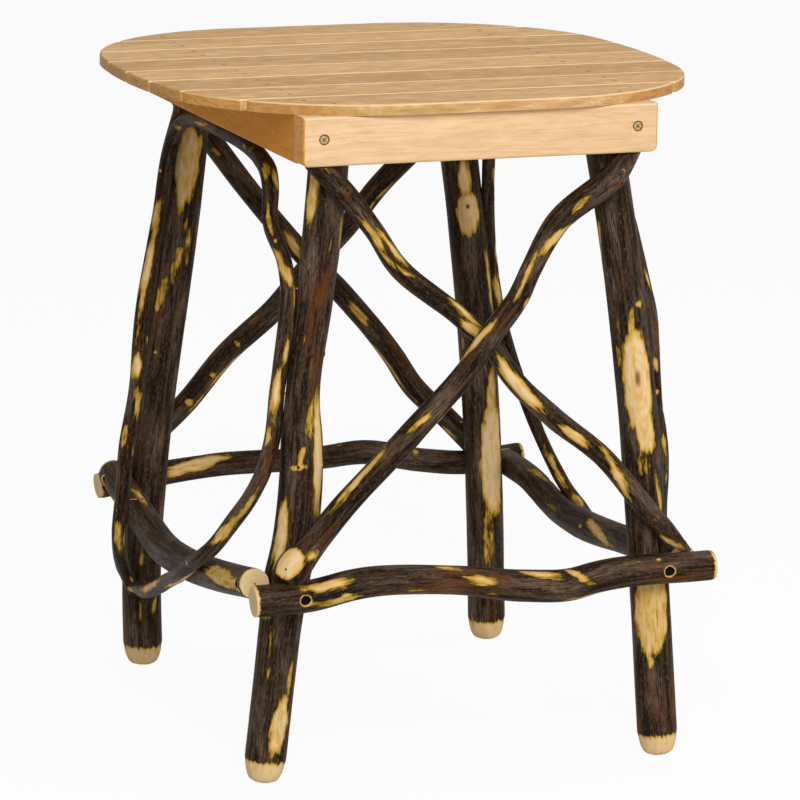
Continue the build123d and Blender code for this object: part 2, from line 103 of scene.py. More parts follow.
class Finish:
    # the node tree of a material or a world under construction
    def __init__(self, owner):
        owner.use_nodes = True
        self.owner = owner
        self.tree = owner.node_tree
        self.tree.nodes.clear()

    def node(self, kind, settings=None, sockets=None, out=0):
        # settings are set first, then each socket gets its value or a link; the wire is output number out
        made = self.tree.nodes.new(kind)
        for key, value in (settings or {}).items():
            if key == "stops":
                ramp = made.color_ramp
                while len(ramp.elements) < len(value):
                    ramp.elements.new(0.5)
                for element, (place, colour) in zip(ramp.elements, value):
                    element.position = place
                    element.color = (*colour, 1)
            else:
                setattr(made, key, value)
        for key, value in (sockets or {}).items():
            if isinstance(value, Wire):
                self.tree.links.new(value.socket, made.inputs[key])
            else:
                made.inputs[key].default_value = value
        return Wire(self, made.outputs[out])

    def math(self, operation, *values):
        return self.node("ShaderNodeMath", {"operation": operation}, dict(enumerate(values)))

    def parts(self, vector):
        split = self.node("ShaderNodeSeparateXYZ", {}, {0: vector})
        return [Wire(self, output) for output in split.socket.node.outputs]

    def attribute(self, name):
        return self.node("ShaderNodeAttribute", {"attribute_name": name}, out=1)

    def stretched(self, place, scale):
        return self.node("ShaderNodeVectorMath", {"operation": "MULTIPLY"}, {0: place, 1: scale})

    def length(self, vector):
        return self.node("ShaderNodeVectorMath", {"operation": "LENGTH"}, {0: vector}, out=1)

    def noise(self, place, scale, detail=4, roughness=0.55, distortion=0):
        # scale is in waves a metre along x, y and z; the noise is near 0.5 with peaks towards 0 and 1
        return self.node("ShaderNodeTexNoise", {"noise_dimensions": "3D"}, {
            "Vector": self.stretched(place, scale), "Scale": 1, "Detail": detail, "Roughness": roughness,
            "Distortion": distortion})

    def band(self, value, low, high, first=0, last=1):
        # goes smoothly from first at low to last at high
        return self.node("ShaderNodeMapRange", {"interpolation_type": "SMOOTHSTEP"}, {
            "Value": value, "From Min": low, "From Max": high, "To Min": first, "To Max": last})

    def ramp(self, value, stops):
        return self.node("ShaderNodeValToRGB", {"stops": stops}, {"Fac": value})

    def blend(self, share, first, second):
        colours = {6: first, 7: second}
        for key, value in colours.items():
            if isinstance(value, tuple) and len(value) == 3:
                colours[key] = (*value, 1)
        return self.node("ShaderNodeMix", {"data_type": "RGBA"}, {0: share, **colours}, out=2)

    def seen(self):
        # 1 for what the camera sees, straight, in a gloss or through glass, and 0 for light on other surfaces
        path = self.node("ShaderNodeLightPath").socket.node.outputs
        camera, glossy, through = [
            Wire(self, path[ray]) for ray in ("Is Camera Ray", "Is Glossy Ray", "Is Transmission Ray")]
        return self.math("MINIMUM", camera + glossy + through, 1)

    def close(self, colour, roughness, height, relief, **fixed):
        # relief is the bump's height in metres; fixed holds the sockets that are the same all over
        sockets = {"Base Color": colour, "Roughness": roughness}
        sockets["Normal"] = self.node("ShaderNodeBump", {}, {"Height": height, "Distance": relief})
        sockets.update({key.replace("_", " "): value for key, value in fixed.items()})
        return self.show(self.node("ShaderNodeBsdfPrincipled", {}, sockets), "ShaderNodeOutputMaterial")

    def show(self, shader, kind):
        output = self.tree.nodes.new(kind)
        self.tree.links.new(shader.socket, output.inputs["Surface"])
        return self.owner


def dress(piece, material):
    piece.data.materials.clear()
    piece.data.materials.append(material)


def throughPoints(at, values, wanted):
    # a cubic curve through the values, whose slope at each one is that of the chord between its neighbours
    at = np.asarray(at, float)
    values = np.asarray(values, float)
    if values.ndim == 1:
        values = values[:, None]
    slope = np.gradient(values, at, axis=0)
    slot = np.clip(np.searchsorted(at, wanted, side="right") - 1, 0, len(at) - 2)
    width = (at[slot + 1] - at[slot])[:, None]
    t = ((wanted - at[slot]) / width[:, 0])[:, None]
    return ((2 * t**3 - 3 * t**2 + 1) * values[slot] + (t**3 - 2 * t**2 + t) * width * slope[slot]
            + (3 * t**2 - 2 * t**3) * values[slot + 1] + (t**3 - t**2) * width * slope[slot + 1])


def runLength(line):
    # how far each point lies along the straight stretches between the points
    return np.concatenate([[0], np.cumsum(np.linalg.norm(np.diff(line, axis=0), axis=1))])


# large factors that scatter whole numbers
scatter = dict(x=374761393, y=668265263, z=1103515245, seed=9176, mix=1274126177)


def latticeNoise(x, y, z, seed):
    # hashed values at the corners of unit cells, faded smoothly between them; runs from -1 to 1
    cell = [np.floor(v).astype(np.int64) for v in (x, y, z)]
    fade = [v - c for v, c in zip((x, y, z), cell)]
    fade = [f * f * (3 - 2 * f) for f in fade]

    def corner(dx, dy, dz):
        # the value comes from the lowest 16 bits of the scattered number
        n = (cell[0] + dx) * scatter["x"] + (cell[1] + dy) * scatter["y"]
        n = n + (cell[2] + dz) * scatter["z"] + seed * scatter["seed"]
        n = ((n ^ (n >> 13)) * scatter["mix"]) & 0xFFFFFFFF
        return ((n ^ (n >> 16)) & 0xFFFF) / 32767.5 - 1

    total = 0
    for dx, dy, dz in np.ndindex(2, 2, 2):
        share = ((fade[0] if dx else 1 - fade[0]) * (fade[1] if dy else 1 - fade[1])
                 * (fade[2] if dz else 1 - fade[2]))
        total = total + share * corner(dx, dy, dz)
    return total


def ringGrid(rows, around):
    # quads between neighbouring rings, closed round, with a fan of triangles on a middle point at each end
    row = np.arange(rows - 1)[:, None] * around
    here = np.arange(around)[None, :]
    after = (here + 1) % around
    quads = np.stack([row + here, row + after, row + around + after, row + around + here], -1).reshape(-1, 4)
    first = rows * around
    here, after = here[0], after[0]
    start = np.stack([after, here, np.full(around, first)], -1)
    end = np.stack([here, after, np.full(around, first + 1 - (rows - 1) * around)], -1) + (rows - 1) * around
    return quads, start, end


def fillMesh(name, points, quads, triangles):
    # a smooth mesh from whole arrays, its points turned from millimetres to metres
    mesh = bpy.data.meshes.new(name)
    loops = np.concatenate([quads.ravel(), triangles.ravel()])
    counts = np.concatenate([np.full(len(quads), 4), np.full(len(triangles), 3)])
    mesh.vertices.add(len(points))
    mesh.vertices.foreach_set("co", (points / 1000).astype(np.float32).ravel())
    mesh.loops.add(len(loops))
    mesh.loops.foreach_set("vertex_index", loops.astype(np.int32))
    mesh.polygons.add(len(counts))
    mesh.polygons.foreach_set("loop_start", (np.cumsum(counts) - counts).astype(np.int32))
    mesh.polygons.foreach_set("loop_total", counts.astype(np.int32))
    mesh.polygons.foreach_set("use_smooth", np.ones(len(counts), bool))
    mesh.update(calc_edges=True)
    piece = bpy.data.objects.new(name, mesh)
    bpy.context.scene.collection.objects.link(piece)
    return piece


def giveVectors(piece, name, vectors):
    # one vector for each point, which the finish reads by its name
    layer = piece.data.attributes.new(name, "FLOAT_VECTOR", "POINT")
    layer.data.foreach_set("vector", vectors.astype(np.float32).ravel())


def sideways(angle, turn, radius):
    # how far round the pole a point lies from the turn in degrees, the shorter way, in mm
    return ((angle - radians(turn) + pi) % (2 * pi) - pi) * radius


def hollow(along, angle, radius, marks, warp):
    # Above 0 inside a mark, up to its cap, and below 0 outside it. A mark is an ellipse on the unrolled skin
    # from a place and an angle in degrees to another, with a width in mm. The value is 1 less the distance
    # from its middle as a share of its size, plus a warp that a wide mark has less of, times an eighth of the
    # width or 0.9, whichever is more.
    best = np.full(np.broadcast(along, angle).shape, -1.0)
    for start, startTurn, end, endTurn, width, cap in marks:
        lean = radians(endTurn - startTurn) * radius.mean()
        reach = np.hypot(end - start, lean)
        half = max(reach / 2, width / 2)
        alongAxis, aroundAxis = 1, 0
        if reach >= 0.5:  # a mark shorter than half a mm has no lean
            alongAxis, aroundAxis = (end - start) / reach, lean / reach
        onward = along - (start + end) / 2
        aside = sideways(angle, (startTurn + endTurn) / 2, radius)
        u = (onward * alongAxis + aside * aroundAxis) / half
        v = (aside * alongAxis - onward * aroundAxis) / (width / 2 + 1)
        rise = max(width / 8, 0.9)
        best = np.maximum(best, np.minimum((1 - np.sqrt(u**2 + v**2) + warp * min(1, 7 / width)) * rise, cap))
    return best


skin = dict(
    capShares=np.array([0.12, 0.3, 0.5, 0.7, 0.85, 0.93, 0.97]),  # the rings of a sawn face
    sawnShare=0.95,    # what lies inside this share of the radius shows the sawn face
    rimShare=1.38,     # how far bare wood reaches round a bore, in its radii
    rimPeel=0.6,       # how pale that wood is, as a mark's cap
    endFray=0.6,       # how far in mm the fine noise frays the bark's edge at a sawn end
    tipFray=2,         # and at the whittled tip
    scarWidth=1.8,     # half the width of a ring scar in mm
    seedStep=900,      # how far apart in mm the patterns of two seeds are taken
    nowhere=-9,        # a height that no bare end or tip reaches
    farAway=9.0,       # a distance that lies outside every mark
)
# each noise is read round a circle: its radius in cells, then a cell's length along the pole in mm, or for
# the lumps in radii of the pole
skinNoise = dict(lump=(1.3, 3.5), ridge=(5, 30), fine=(14, 12), coarse=(1.7, 15), frayed=(5, 6))


def layRings(line, radius, outward, look):
    # A ring is laid square to the line every step: its middle, the two directions across, its radius, its
    # place along the line and its share of the radius, which is below 1 on the two sawn faces.
    chord = runLength(line)
    count = int(chord[-1] / look["step"]) + 1
    along = np.linspace(0, chord[-1], count)
    centre = throughPoints(chord, line, along)
    base = throughPoints(chord, radius, along)[:, 0]
    run = np.gradient(centre, along, axis=0)
    run /= np.linalg.norm(run, axis=1)[:, None]
    capShares = skin["capShares"]
    caps = len(capShares)
    share = np.concatenate([capShares, np.ones(count), capShares[::-1]])
    pick = np.concatenate([np.zeros(caps, int), np.arange(count), np.full(caps, count - 1)])
    out = np.concatenate([np.full(caps, -look["rim"]), np.zeros(count), np.full(caps, look["rim"])])
    centre = centre[pick] + run[pick] * out[:, None]
    run = run[pick]
    side = np.cross(outward, run)
    side /= np.linalg.norm(side, axis=1)[:, None]
    return centre, np.cross(run, side), side, base[pick], along[pick], share


def growSkin(length, angle, wide, look):
    # Swell is what the skin stands out by in mm: ridges, lumps, knots and scars, less the bark's depth where
    # it is peeled. Deep is what a bore cuts away. Peel is above 0 on bare wood, warm on red bark and dark on
    # knots, and eye is the distance from the middle of an oval of growth rings as a share of its size.
    noises = {}
    for offset, (name, (turns, stretch)) in enumerate(skinNoise.items()):
        cell = stretch * wide if name == "lump" else stretch
        circle = (np.cos(angle) * turns, np.sin(angle) * turns)
        noises[name] = latticeNoise(*circle, length / cell, look["seed"] + offset)
    ridge = noises["ridge"]
    fine = noises["fine"]
    swell = look["lump"] * noises["lump"] + look["ridge"] * (ridge + 0.5 * fine)
    warp = 0.24 * noises["coarse"] + 0.14 * noises["frayed"]
    warm = hollow(length, angle, wide, look["warm"], warp)
    peel = hollow(length, angle, wide, look["peeled"], warp)
    toEnd = np.minimum(length - length[0], length[-1] - length)
    peel = np.maximum(peel, (look["bare"] - toEnd + skin["endFray"] * fine) / 2)
    peel = np.maximum(peel, np.clip((look["whittled"] - length + skin["tipFray"] * fine) / 4, -1, 1))
    edge = np.clip(peel * 4 + 0.3 * fine, 0, 1)
    swell = swell * (1 - 0.6 * edge) - look["bark"] * edge
    dark = np.zeros_like(peel)
    for place, turn, size, rise in look["knots"]:  # a round swelling with a dip in its middle
        away = np.hypot(sideways(angle, turn, wide), length - place) / size
        swell = swell + rise * np.exp(-1.6 * away**2) - 0.5 * abs(rise) * np.exp(-9 * away**2)
        dark = np.maximum(dark, np.exp(-5 * away**2))
    for place, rise in look["scars"]:  # a low uneven ring round the pole
        away = (length - place + 1.5 * ridge) / skin["scarWidth"]
        swell = swell + rise * np.exp(-away**2) * (0.7 + 0.5 * ridge)
    eye = np.full_like(peel, skin["farAway"])
    for place, turn, long, across in look["eyes"]:
        aside = sideways(angle, turn, wide)
        eye = np.minimum(eye, np.hypot((length - place) / (long / 2), aside / (across / 2)))
    deep = np.zeros_like(peel)
    ringed = np.zeros_like(peel)
    for place, turn, bore, depth in look["bores"]:  # its wall falls away within a ring's step
        away = np.hypot(sideways(angle, turn, wide), length - place) / bore
        deep = np.maximum(deep, np.clip((1 - away) * bore / (0.9 * look["step"]), 0, 1) * depth)
        ringed = np.maximum(ringed, np.clip((skin["rimShare"] - away) * 4, 0, 1))
    peel = np.where(ringed > 0, np.maximum(peel, ringed * skin["rimPeel"]), peel)
    return swell, deep, peel, warm, eye, dark


def woodPole(name, line, radius, outward, look, stop=None):
    # each point is its ring's middle plus the radius and the swell, less the bore, times a turning direction
    centre, face, side, base, along, share = layRings(line, radius, outward, look)
    angle = np.linspace(0, 2 * pi, look["around"], endpoint=False)[None, :]
    length = along[:, None]
    wide = base[:, None]
    swell, deep, peel, warm, eye, dark = growSkin(length, angle, wide, look)
    reach = (wide + swell) * share[:, None] - deep
    ringX = np.cos(angle)
    ringY = np.sin(angle)
    rings = (centre[:, None, :] + reach[:, :, None]
             * (ringX[:, :, None] * face[:, None, :] + ringY[:, :, None] * side[:, None, :]))
    points = np.concatenate([rings.reshape(-1, 3), [centre[0], centre[-1]]])
    points[:, 2] = np.clip(points[:, 2], 0, stop)
    points[:, 1] += table["setBack"]
    quads, first, last = ringGrid(len(share), look["around"])
    piece = fillMesh(name, points, quads, np.concatenate([first, last]))

    # place is where a point lies on the straightened pole; the last two rows are the sawn faces' middles
    place = np.stack(np.broadcast_arrays(reach * ringX, reach * ringY, length), -1).reshape(-1, 3)
    place = np.concatenate([place, [(0, 0, along[0]), (0, 0, along[-1])]])
    giveVectors(piece, "place", (place + (0, 0, skin["seedStep"] * look["seed"])) / 1000)
    sawn = np.broadcast_to(share[:, None] < skin["sawnShare"], peel.shape)
    marks = np.stack([peel, sawn, deep], -1).reshape(-1, 3)
    giveVectors(piece, "marks", np.concatenate([marks, [(0, 1, 0)] * 2]))
    tints = np.stack([warm, eye, dark], -1).reshape(-1, 3)
    giveVectors(piece, "tints", np.concatenate([tints, [(-1, skin["farAway"], 0)] * 2]))
    dress(piece, look["finish"])
    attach(piece, "root")
    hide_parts(name.replace("Skin", ""))


# each noise: waves a metre across and along the pole, detail and roughness
barkNoise = dict(
    grain=((1500, 1500, 70), 5, 0.7),
    pores=((900, 900, 240), 3, 0.6),
    streak=((300, 300, 16), 4, 0.6),
    blotch=((70, 70, 14), 3, 0.55),
    patch=((34, 34, 8), 2, 0.5),
    mottle=((230, 230, 75), 4, 0.62),
    stray=((105, 105, 17), 4, 0.66),
    speckle=((620, 620, 210), 4, 0.72),
)


def barkFinish(name, tones):
    # near black bark with a painted grey sheen and fine grain along the pole, red where it is thin, olive and
    # golden round the peeled patches, pale inside them, and growth rings on the sawn faces
    finish = Finish(bpy.data.materials.new(name))
    band = finish.band
    blend = finish.blend
    place = finish.attribute("place")
    peeled, sawn, deep = finish.parts(finish.attribute("marks"))
    warm, eye, dark = finish.parts(finish.attribute("tints"))
    grain, pores, streak, blotch, patch, mottle, stray, speckle = [
        finish.noise(place, *pattern) for pattern in barkNoise.values()]

    # above 0 the bark is off: in the marks, frayed by the noises, and in small flakes, but not in a knot
    peel = peeled + (mottle - 0.5) * 1.5 + (streak - 0.5) * 0.9 + (grain - 0.5) * 0.6
    peel = finish.math("MAXIMUM", peel, (stray - 0.635) * 4.5 + (grain - 0.5) * 0.5)
    peel = peel - band(dark, 0.45, 0.75) * 0.9

    bark = blend(band(streak, 0.4, 0.66), tones["dark"], tones["brown"])
    # painted sheen: grey-brown blotches and speckles stand in for the varnish's highlight
    bark = blend(band(blotch, 0.46, 0.64) * band(grain, 0.4, 0.62), bark, tones["paintedSheen"])
    bark = blend(band(speckle, 0.52, 0.66, 0, 0.42), bark, tones["paintedSheen"])
    bark = blend(band(speckle, 0.47, 0.34, 0, 0.75), bark, tones["dark"])
    thin = band(patch, 0.57, 0.7) * band(streak, 0.42, 0.6) * 0.6
    marked = band(warm + (mottle - 0.5) * 2 + (grain - 0.5) * 0.8, 0.1, 1.2, 0, 0.8)
    bark = blend(finish.math("MAXIMUM", thin, marked), bark, tones["red"])
    bark = blend(band(pores, 0.68, 0.76) * band(blotch, 0.42, 0.58) * 0.7, bark, tones["fleck"])

    wood = finish.ramp(peel, [(0, tones["dark"]), (0.12, tones["olive"]), (0.3, tones["ochre"]),
                              (0.5, tones["gold"]), (0.75, tones["tan"]), (0.97, tones["pale"])])
    wood = blend(band(grain, 0.45, 0.75, 0, 0.3), wood, tones["gold"])
    wood = blend(band(blotch, 0.55, 0.72, 0, 0.4), wood, tones["gold"])
    growth = finish.math("SINE", eye * 26 + blotch * 9)
    wood = blend(band(eye, 1.05, 0.95) * band(growth, 0.2, 1, 0, 0.3), wood, tones["gold"])
    wood = blend(band(eye, 0.26, 0.06) * band(grain, 0.3, 0.6, 0.4, 1), wood, tones["knot"])
    wood = blend(band(dark, 0.2, 0.7), wood, tones["knot"])

    distance = finish.length(finish.stretched(place, (1, 1, 0)))  # from the pole's pith, in metres
    rings = finish.math("SINE", distance * 3800 + blotch * 5)
    cut = blend(band(rings, -0.2, 1, 0, 0.5), tones["sawn"], tones["ring"])
    cut = blend(band(distance, 0.0012, 0.0004), cut, tones["brown"])

    colour = blend(band(peel, -0.04, 0.24), bark, wood)
    colour = blend(band(dark, 0.55, 0.9), colour, tones["dark"])
    colour = blend(sawn, colour, cut)
    # painted shade: near black in the bore, where a screw goes in
    colour = blend(band(deep, 0.3, 1.6), colour, tones["paintedBoreShade"])
    bare = band(peel, -0.01, 0.1)
    gloss = tones["gloss"]
    roughness = band(grain, 0.3, 0.7, gloss, gloss + 0.24) + bare * 0.08 + sawn * 0.2
    height = (grain + pores * 0.4) * (1 - bare * 0.85) + streak * 0.9 - bare * 0.5
    return finish.close(colour, roughness, height, tones["relief"], Specular_IOR_Level=tones["shine"])


# paintedSheen is a painted highlight, laid in the colour where the varnish's gloss would show
poleTones = dict(dark=(0.010, 0.0055, 0.0028), brown=(0.066, 0.037, 0.019), paintedSheen=(0.16, 0.108, 0.073),
                 red=(0.12, 0.038, 0.009), fleck=(0.28, 0.12, 0.03), olive=(0.085, 0.052, 0.004),
                 ochre=(0.30, 0.175, 0.014), gold=(0.56, 0.335, 0.075), tan=(0.66, 0.43, 0.17),
                 pale=(0.73, 0.525, 0.275), knot=(0.13, 0.055, 0.02), sawn=(0.74, 0.54, 0.30),
                 ring=(0.52, 0.32, 0.13), paintedBoreShade=(0.006, 0.004, 0.003), gloss=0.36, shine=0.045, relief=0.0004)
twigTones = {**poleTones, "brown": (0.058, 0.031, 0.015), "gloss": 0.32, "shine": 0.035}
poleFinish = barkFinish("poleBark", poleTones)
twigFinish = barkFinish("twigBark", twigTones)
print("bark finishes ready")

# Around is the points round a pole and step the spacing of its rings in mm. Lump, ridge and bark are the
# heights of the lumps and ridges and the depth of a peeled patch. Bare is how far the bark is worn off at
# each end, whittled how far up from the foot, and rim how far a sawn face stands out.
common = dict(peeled=[], knots=[], scars=[], warm=[], eyes=[], bores=[], rim=0.5, bark=0.45,
              whittled=skin["nowhere"], bare=skin["nowhere"])
poleLook = dict(**common, lump=0.35, ridge=0.16, finish=poleFinish, slot="hickory_pole")
legLook = {**poleLook, "around": 88, "step": 1.5, "rim": 0, "whittled": 21}
stretcherLook = {**poleLook, "around": 84, "step": 1.1, "bare": 3}
twigLook = dict(**common, around=52, step=1.2, lump=0.3, ridge=0.12, finish=twigFinish, slot="hickory_twig")

# Each leg: which way its corner lies, its radius at the top and the floor, how deep its flats are planed
# where it stands in the frame's corner, how far its foot stands out past its top, and how it bends. Its
# shape gives, at shares of its height, how far the pole wanders outward and its girth as a share of its
# radius.
foot = dict(height=24, flat=0.5)  # the whittled tip, and its flat on the floor as a share of the radius
even = [(share, 0, 1) for share in (0.16, 0.3, 0.45, 0.6, 0.75, 1)]
legs = {
    "front_left": dict(x=-1, y=-1, top=20.5, foot=21, flat=4, splayX=65, splayY=11, bow=-3, sway=1, shape=[
        (0.12, 0, 0.89), (0.24, 0, 0.92), (0.295, -0.5, 0.98), (0.35, -4, 0.97), (0.45, -3.5, 0.94),
        (0.51, 0, 0.9), (0.57, 3.5, 0.76), (0.72, 2, 0.8), (0.89, 0, 0.87), (1, 0, 0.87)]),
    "front_right": dict(x=1, y=-1, top=17.5, foot=18.5, flat=0, splayX=60, splayY=34, bow=11, sway=-1.5,
                        shape=even),
    "back_left": dict(x=-1, y=1, top=18, foot=19.5, flat=0, splayX=49, splayY=15, bow=9, sway=4.5, shape=[
        (0.16, 2, 0.98), (0.28, 1, 0.98), (0.42, 0, 0.96), (0.52, 0, 0.97), (0.64, 0, 1), (0.82, 0, 1),
        (1, 0, 1)]),
    "back_right": dict(x=1, y=1, top=18.5, foot=18.5, flat=4, splayX=55, splayY=4, bow=12, sway=0,
                       shape=even),
}


def legRadius(leg, height):
    # from the foot's to the top's in an even taper
    return leg["foot"] + (leg["top"] - leg["foot"]) * height / legLength


def legAxis(leg, height):
    # straight from the frame's corner to the foot, plus one long bow and an S-shaped sway outward
    up = np.asarray(height, float) / legLength
    bend = leg["bow"] * np.sin(pi * up) + leg["sway"] * np.sin(2 * pi * up)
    outX = innerX + leg["flat"] - leg["top"] + leg["splayX"] * (1 - up) + bend
    outY = innerY + leg["flat"] - leg["top"] + leg["splayY"] * (1 - up)
    return np.stack([leg["x"] * outX, leg["y"] * outY, up * legLength], -1)


# On each pole's unrolled skin, places are mm along it and angles are degrees from the way it faces. Peeled
# and warm marks have a place and an angle at each end, a width in mm and a cap, which sets how pale or red
# they get. Knots have a place, an angle, a size and a rise, scars a place and a rise, and eyes a place, an
# angle, a length and a width.
legMarks = {
    "front_left": dict(seed=3, peeled=[
        (566, 60, 503, 72, 13, 0.65), (521, -50, 489, -52, 5, 0.5), (476, 92, 440, 106, 7, 0.2),
        (363, -34, 311, 6, 8, 0.22), (362, -42, 235, -36, 15, 1), (315, 6, 288, 32, 5, 0.5),
        (289, 64, 294, -6, 5, 0.7), (264, 64, 189, 62, 14, 0.9), (153, 82, 152, 38, 7, 0.4),
        (116, -32, 83, -28, 5, 0.3), (85, -20, 22, -2, 17, 0.7), (73, -26, 48, -30, 11, 1)],
        warm=[(480, -20, 425, 14, 15, 1), (370, 0, 330, -30, 10, 0.6)], scars=[(393, 1.2), (292, 0.9)],
        knots=[(292, 26, 4, 1.2)]),
    "front_right": dict(seed=5, peeled=[
        (506, 80, 458, 106, 5, 0.7), (422, 0, 420, -24, 6, 0.8), (421, 6, 384, 26, 5, 0.45),
        (402, 8, 301, 18, 29, 0.88), (334, 10, 279, -4, 19, 0.8), (385, 68, 362, 66, 4, 0.25),
        (286, 18, 262, 16, 11, 0.2), (267, -22, 220, -40, 5, 0.45), (184, 10, 92, 28, 34, 0.62),
        (97, 28, 84, 30, 5, 0.5)], eyes=[(354, 12, 92, 30), (170, 14, 60, 22)]),
    "back_left": dict(seed=7, peeled=[
        (541, -162, 456, -166, 25, 0.68), (546, -176, 540, -138, 10, 0.45), (479, -164, 450, -158, 8, 0.8),
        (530, 162, 499, 164, 6, 0.35),
        (444, 166, 403, 162, 5, 0.3), (428, -178, 376, -156, 8, 0.3), (395, -152, 352, -120, 8, 0.28),
        (316, -138, 311, -140, 4, 0.5), (118, -164, 101, -158, 4, 0.5), (71, 150, 52, 162, 5, 0.4),
        (450, 176, 434, 182, 3, 0.3)]),
    "back_right": dict(seed=11, peeled=[
        (492, -174, 450, -168, 14, 0.85), (460, -176, 413, -164, 24, 1), (402, 138, 325, 126, 8, 0.9),
        (284, 150, 222, 172, 12, 0.7), (254, 162, 122, 172, 27, 1), (150, 186, 78, 192, 9, 0.35),
        (314, -110, 296, -108, 3, 0.4)],
        knots=[(444, -170, 4, 0.8)], eyes=[(444, -170, 34, 22)]),
}

# one patch to each spacing in mm, turned by up to the spread in degrees from the plain side's middle, which
# is given here for the legs; the widest on a leg is in mm and on a limb a share of its radius
stray = dict(spacing=62, spread=62, lean=26, shortest=6, longest=58, frontLeg=200, backLeg=20, legWidth=17,
             limbShare=0.9)


def strayMarks(seed, length, middle, width):
    # more peeled patches, scattered about the side that the listed ones leave plain
    chance = np.random.default_rng(seed)
    count = int(length / stray["spacing"])
    start = (np.arange(count) + chance.uniform(0.1, 0.6, count)) * length / count
    turn = middle + chance.uniform(-stray["spread"], stray["spread"], count)
    end = start + chance.uniform(stray["shortest"], stray["longest"], count)
    endTurn = turn + chance.uniform(-stray["lean"], stray["lean"], count)
    across = width * chance.uniform(0.25, 1, count)**1.5
    return list(zip(start, turn, end, endTurn, across, chance.uniform(0.3, 1, count)))


def makeLeg(name, leg):
    # the whittled tip is a quarter of an ellipse from the small flat up to the full girth
    upTip = foot["height"] * np.linspace(0, 1, 12)
    height = np.concatenate([upTip, np.linspace(foot["height"], legLength, 60)[1:]])
    shares, wanders, girths = zip(*leg["shape"])
    at = [0, *shares]
    wander = throughPoints(at, [0, *wanders], height / legLength)[:, 0]
    girth = throughPoints(at, [girths[0], *girths], height / legLength)[:, 0]
    up = np.clip(height / foot["height"], 0, 1)
    tip = foot["flat"] + (1 - foot["flat"]) * np.sqrt(1 - (1 - up)**2)
    line = legAxis(leg, height)
    line[:, 0] += leg["x"] * wander
    radius = girth * legRadius(leg, height) * tip
    look = {**legLook, **legMarks[name]}
    plain = stray["frontLeg"] if leg["y"] < 0 else stray["backLeg"]
    look["peeled"] = look["peeled"] + strayMarks(look["seed"], legLength, plain, stray["legWidth"])
    woodPole("leg_" + name + "Skin", line, radius, np.array([0, leg["y"], 0]), look, legLength)


for name, leg in legs.items():
    makeLeg(name, leg)
print("legs made")

# each side: the legs where across is 0 and where it is 1, the way out, and the angle in the middle of what
# the listed marks leave plain
sides = {
    "front": dict(first="front_left", last="front_right", outward=(0, -1, 0), plain=180),
    "back": dict(first="back_left", last="back_right", outward=(0, 1, 0), plain=0),
    "left": dict(first="front_left", last="back_left", outward=(-1, 0, 0), plain=180),
    "right": dict(first="front_right", last="back_right", outward=(1, 0, 0), plain=-30),
}


def limbLine(limb):
    # A station is across, rise, over and girth. Across is the share of the way from one leg to the next, rise
    # is 0 at the stretchers and 1 at the frame, over lifts the limb off the legs onto what it crosses, and
    # girth is a share of its radius.
    across, rise, over, girth = np.array(limb["stations"]).T
    side = sides[limb["side"]]
    first = legs[side["first"]]
    last = legs[side["last"]]
    height = table["stretcherHeight"] + rise * (frameBottom - table["stretcherHeight"])
    skinOut = legRadius(first, height) * (1 - across) + legRadius(last, height) * across
    out = skinOut + limb["radius"] - table["notch"] + over * limb["step"]
    start = legAxis(first, height)
    end = legAxis(last, height)
    line = start + (end - start) * across[:, None] + np.array(side["outward"]) * out[:, None]
    return line, girth * limb["radius"]


# radii of the stretchers and the twigs
frontPole, backPole, leftPole, rightPole = 14, 12, 14.5, 13.5
thin, thick, backTwig, leftTwig, rightTwig = 9.3, 10.7, 10.8, 7.3, 6.4
# how far the upper of two limbs that cross is lifted: both radii, or twice the stretcher's, less the cope
frontCrossing = thin + thick - table["notch"]
backCrossing = 2 * backTwig - table["notch"]
leftCrossing = 2 * leftPole - table["notch"]
rightCrossing = 2 * rightPole - table["notch"]
# the side stretchers' ends, which stand past the legs' axes, as shares of the way from leg to leg
overhang = dict(front=15, back=20)
frontEnd = -overhang["front"] / table["frameDepth"]
backEnd = 1 + overhang["back"] / table["frameDepth"]
screwBore = dict(radius=4.8, depth=5)
stretchers = {
    "stretcher_front": dict(side="front", radius=frontPole, step=0, seed=21, screws=(0.014, 1.012), stations=[
        (-0.113, -0.01, 0, 1.03), (0.05, -0.003, 0, 1.02), (0.15, 0.015, 0, 1), (0.43, 0.01, 0, 0.95),
        (0.62, -0.014, 0, 1.04), (0.75, -0.018, 0, 1.06), (0.82, -0.005, 0, 1.03), (1.145, 0.006, 0, 1)]),
    "stretcher_back": dict(side="back", radius=backPole, step=0, seed=22, screws=(0, 1), stations=[
        (-0.12, -0.01, 0, 1.05), (0.21, 0.025, 0, 0.98), (0.55, 0.028, 0, 0.95), (0.66, 0.035, 0, 1),
        (0.84, 0.004, 0, 0.98), (0.97, -0.009, 0, 1), (1.145, 0.003, 0, 1)]),
    "stretcher_left": dict(side="left", radius=leftPole, step=0, seed=23, screws=(0, 1), stations=[
        (frontEnd, 0.02, 0, 0.97), (0.2, -0.02, 0, 1), (0.44, -0.05, 0, 1.02), (0.61, -0.055, 0, 1.04),
        (0.75, -0.03, 0, 1), (backEnd, 0.03, 0, 0.95)]),
    "stretcher_right": dict(side="right", radius=rightPole, step=0, seed=24, screws=(0, 1), stations=[
        (frontEnd, 0.01, 0, 1.02), (0.3, -0.027, 0, 1), (0.57, -0.051, 0, 1.08), (0.695, -0.05, 0, 1),
        (0.88, -0.013, 0, 0.95), (backEnd, -0.005, 0, 0.95)]),
}
